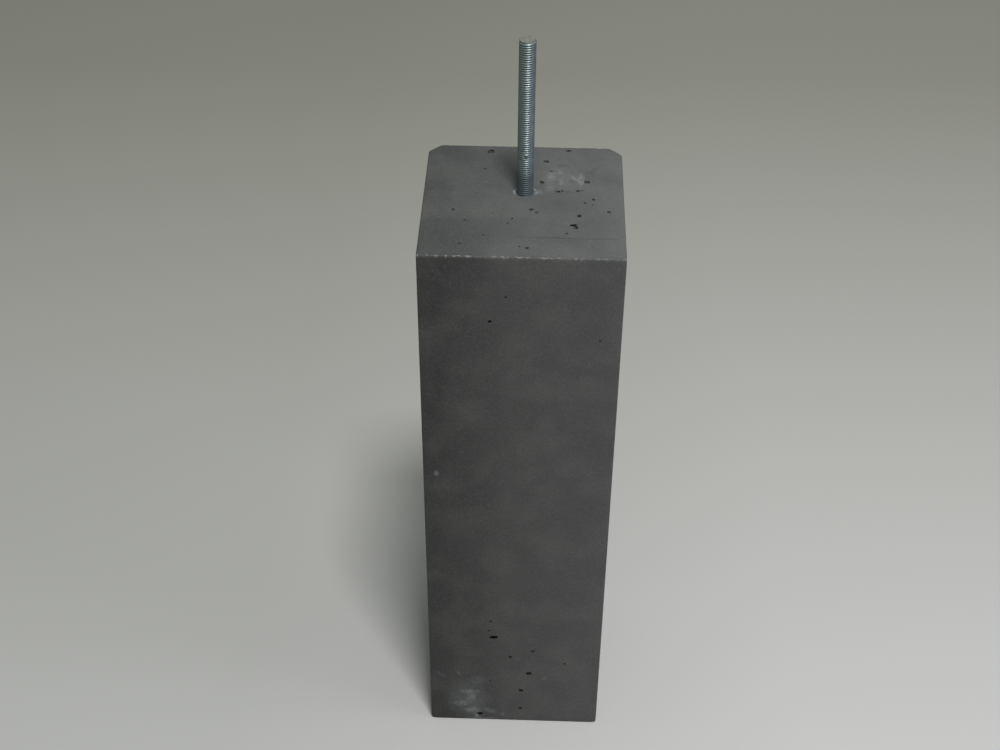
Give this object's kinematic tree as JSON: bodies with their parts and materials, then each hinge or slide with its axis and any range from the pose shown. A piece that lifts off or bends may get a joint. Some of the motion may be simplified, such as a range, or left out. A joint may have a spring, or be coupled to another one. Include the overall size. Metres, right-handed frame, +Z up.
{
  "type": "concrete pier block",
  "caption": "Square, upright cast concrete pier block with chamfered back corners and a threaded steel stud standing out of its top for a nut, washer or post base.",
  "frame": {"origin": "middle of the underside, on the ground", "axes": "+Z up along the block and the stud, -Y out of the plain front face, +Y towards the face with the chamfered corners, +X to the right when seen from the front"},
  "size_m": [0.145, 0.145, 0.6225],
  "materials": {
    "concrete": "cast anthracite concrete, fine grained, matt, with small air voids",
    "zinc_plated_steel": "zinc plated, blue passivated, satin"
  },
  "bodies": {
    "root": {"concrete_block": "concrete", "threaded_stud": "zinc_plated_steel"}
  },
  "joints": []
}
